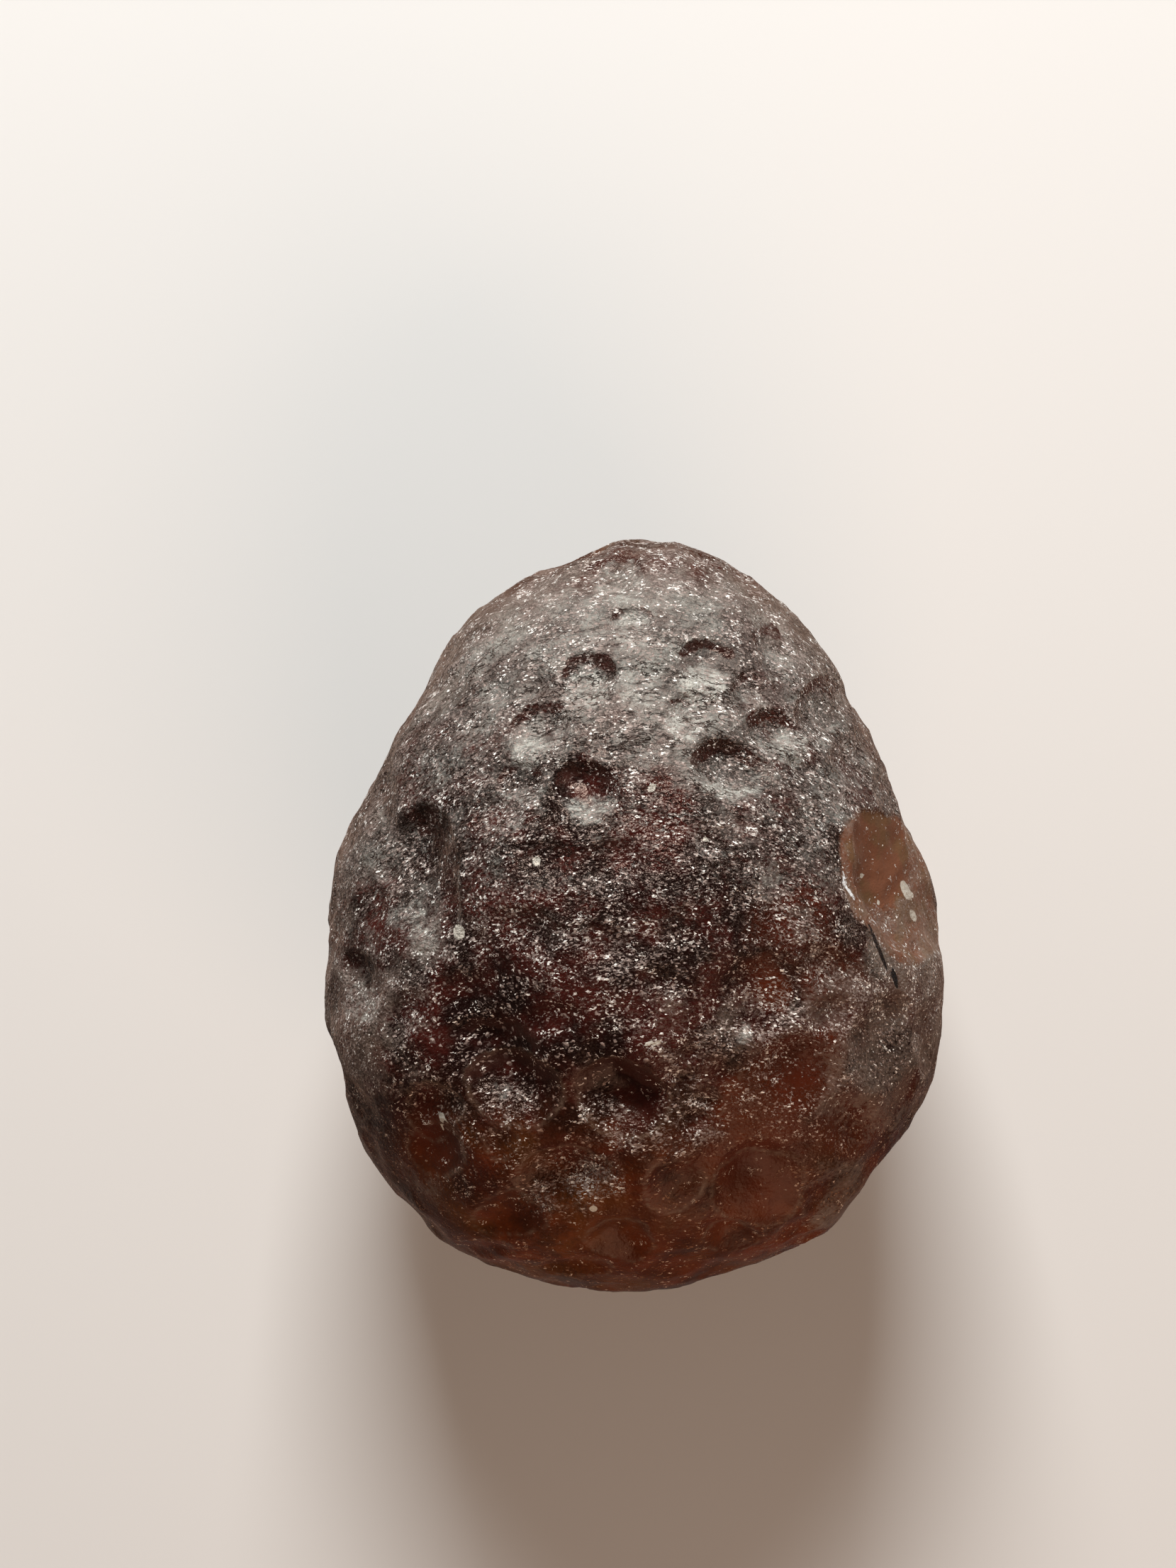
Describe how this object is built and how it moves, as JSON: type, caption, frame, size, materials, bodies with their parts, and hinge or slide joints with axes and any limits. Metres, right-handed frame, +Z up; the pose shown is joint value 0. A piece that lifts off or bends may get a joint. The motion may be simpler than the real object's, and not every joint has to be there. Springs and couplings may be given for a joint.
{
  "type": "tektite",
  "caption": "Egg-shaped tektite: a pitted stone of dark brown natural glass that lies on a small flat spot.",
  "frame": {"origin": "middle of the bounding box's foot, on the surface the stone lies on", "axes": "+Y along the stone towards its narrow end, +Z up through its thinnest way, +X across it"},
  "size_m": [0.0198, 0.024, 0.0166],
  "materials": {
    "tektite_glass": "finely etched, frosted dark brown glass, a little translucent at thin edges, smooth in some pits"
  },
  "bodies": {
    "root": {"tektite": "tektite_glass"}
  },
  "joints": []
}
